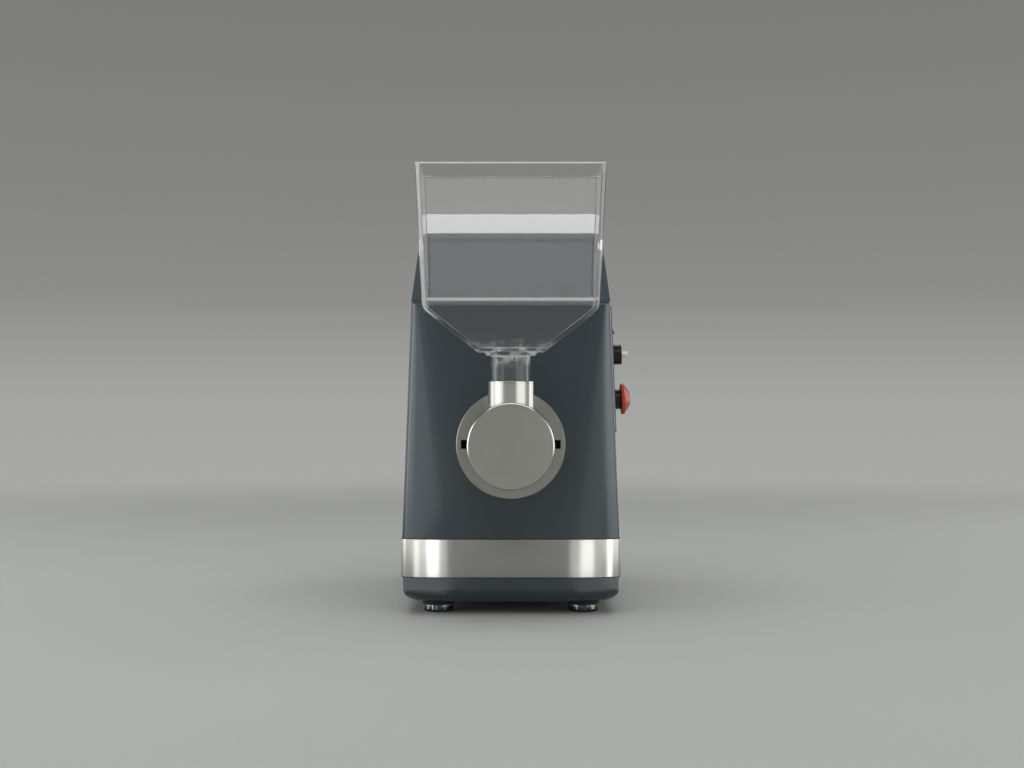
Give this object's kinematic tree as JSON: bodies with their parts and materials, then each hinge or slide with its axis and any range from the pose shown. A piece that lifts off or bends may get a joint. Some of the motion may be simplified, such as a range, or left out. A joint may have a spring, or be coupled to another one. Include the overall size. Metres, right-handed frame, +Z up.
{
  "type": "nut butter grinder",
  "caption": "Countertop mill with a tapered painted body on feet, a grinding head on its front and a clear open hopper; switch, reset and stop buttons on the right side.",
  "frame": {"origin": "on the floor under the middle of the part's outline seen from above", "axes": "+X to the right of someone facing the front, front faces -Y, +Z up"},
  "size_m": [0.2934, 0.4662, 0.555],
  "materials": {
    "painted_shell": "slate grey satin powder coat",
    "painted_tray": "slate grey satin powder coat",
    "painted_panel": "slate grey satin powder coat",
    "painted_motor": "blue grey machine enamel",
    "brushed_band": "stainless steel brushed along its length",
    "turned_head": "fine turned and bead-blasted stainless steel",
    "brushed_tube": "polished stainless tube",
    "steel_parts": "plain machined steel",
    "zinc_fasteners": "bright zinc plate",
    "cast_parts": "painted grey iron",
    "foot_steel": "nickel plated",
    "foot_rubber": "black rubber",
    "clear_acrylic": "clear polished acrylic sheet",
    "black_plastic": "satin black nylon",
    "dark_plastic": "dark moulded plastic",
    "pale_plastic": "pale moulded plastic",
    "white_button": "glossy white",
    "red_plastic": "red moulded plastic",
    "seal_rubber": "red silicone rubber",
    "spider_rubber": "orange polyurethane",
    "copper_wire": "lacquered copper wire",
    "brass_pins": "plated brass"
  },
  "bodies": {
    "body": {"body_shell": "painted_shell", "base_tray": "painted_tray", "trim_band": "brushed_band", "rear_cover": "painted_shell", "cover_screws": "zinc_fasteners", "chassis_plate": "steel_parts", "chassis_bolts": "zinc_fasteners", "bulkhead": "steel_parts", "bearing_housing": "cast_parts", "bearing_bolts": "zinc_fasteners", "front_bearing": "steel_parts", "rear_bearing": "steel_parts", "motor_shell": "painted_motor", "motor_stator": "steel_parts", "motor_windings": "copper_wire", "motor_front_bell": "painted_motor", "motor_rear_bell": "painted_motor", "motor_bearings": "steel_parts", "fan_cowl": "painted_motor", "motor_cradle": "steel_parts", "terminal_box": "painted_motor", "contactor": "pale_plastic", "start_capacitor": "pale_plastic", "power_inlet": "black_plastic", "inlet_pins": "brass_pins", "mounting_flange": "turned_head", "flange_bolts": "zinc_fasteners", "head_screws": "zinc_fasteners", "grinder_housing": "turned_head", "shaft_seal": "foot_rubber", "inlet_tube": "brushed_tube", "fixed_burr": "steel_parts", "control_panel": "painted_panel", "switch_body": "black_plastic", "reset_body": "black_plastic", "estop_body": "black_plastic", "estop_contacts": "dark_plastic", "feet": "foot_steel", "foot_pads": "foot_rubber", "foot_bolts": "zinc_fasteners"},
    "drive": {"main_shaft": "steel_parts", "front_coupling": "steel_parts", "coupling_spider": "spider_rubber", "rear_coupling": "steel_parts", "motor_rotor": "steel_parts", "motor_fan": "dark_plastic", "feed_screw": "steel_parts", "turning_burr": "steel_parts", "burr_nut": "zinc_fasteners"},
    "cap": {"front_cap": "turned_head", "cap_seal": "seal_rubber"},
    "hopper": {"hopper_front_panel": "clear_acrylic", "hopper_back_panel": "clear_acrylic", "hopper_sides": "clear_acrylic", "hopper_collar": "clear_acrylic", "hopper_tube": "clear_acrylic"},
    "rocker": {"switch_rocker": "black_plastic"},
    "reset": {"reset_button": "white_button"},
    "stop_stem": {"estop_stem": "dark_plastic"},
    "stop_head": {"estop_head": "red_plastic"}
  },
  "joints": [
    {"name": "drive_spin", "type": "hinge", "parent": "body", "child": "drive", "pos_m": [-0.00841, -0.1511, 0.215], "axis": [0, 1, 0], "continuous": true},
    {"name": "hopper_lift", "type": "slide", "parent": "body", "child": "hopper", "axis": [0, 0, 1], "range_m": [0, 0.06]},
    {"name": "cap_pull", "type": "slide", "parent": "body", "child": "cap", "axis": [0, -1, 0], "range_m": [0, 0.05]},
    {"name": "power_rock", "type": "hinge", "parent": "body", "child": "rocker", "pos_m": [0.1168, -0.0751, 0.36296], "axis": [0, 1, 0], "range_deg": [0, 24]},
    {"name": "reset_press", "type": "slide", "parent": "body", "child": "reset", "axis": [-0.9992, 0, -0.04], "range_m": [0, 0.003], "stiffness_N_per_m": 400, "springref_m": -0.001},
    {"name": "estop_press", "type": "slide", "parent": "body", "child": "stop_stem", "axis": [-0.9992, 0, -0.04], "range_m": [0, 0.004]},
    {"name": "estop_twist", "type": "hinge", "parent": "stop_stem", "child": "stop_head", "pos_m": [0.1415, -0.0751, 0.2708], "axis": [0.9992, 0, 0.04], "range_deg": [0, 45], "stiffness_Nm_per_rad": 0.02}
  ]
}
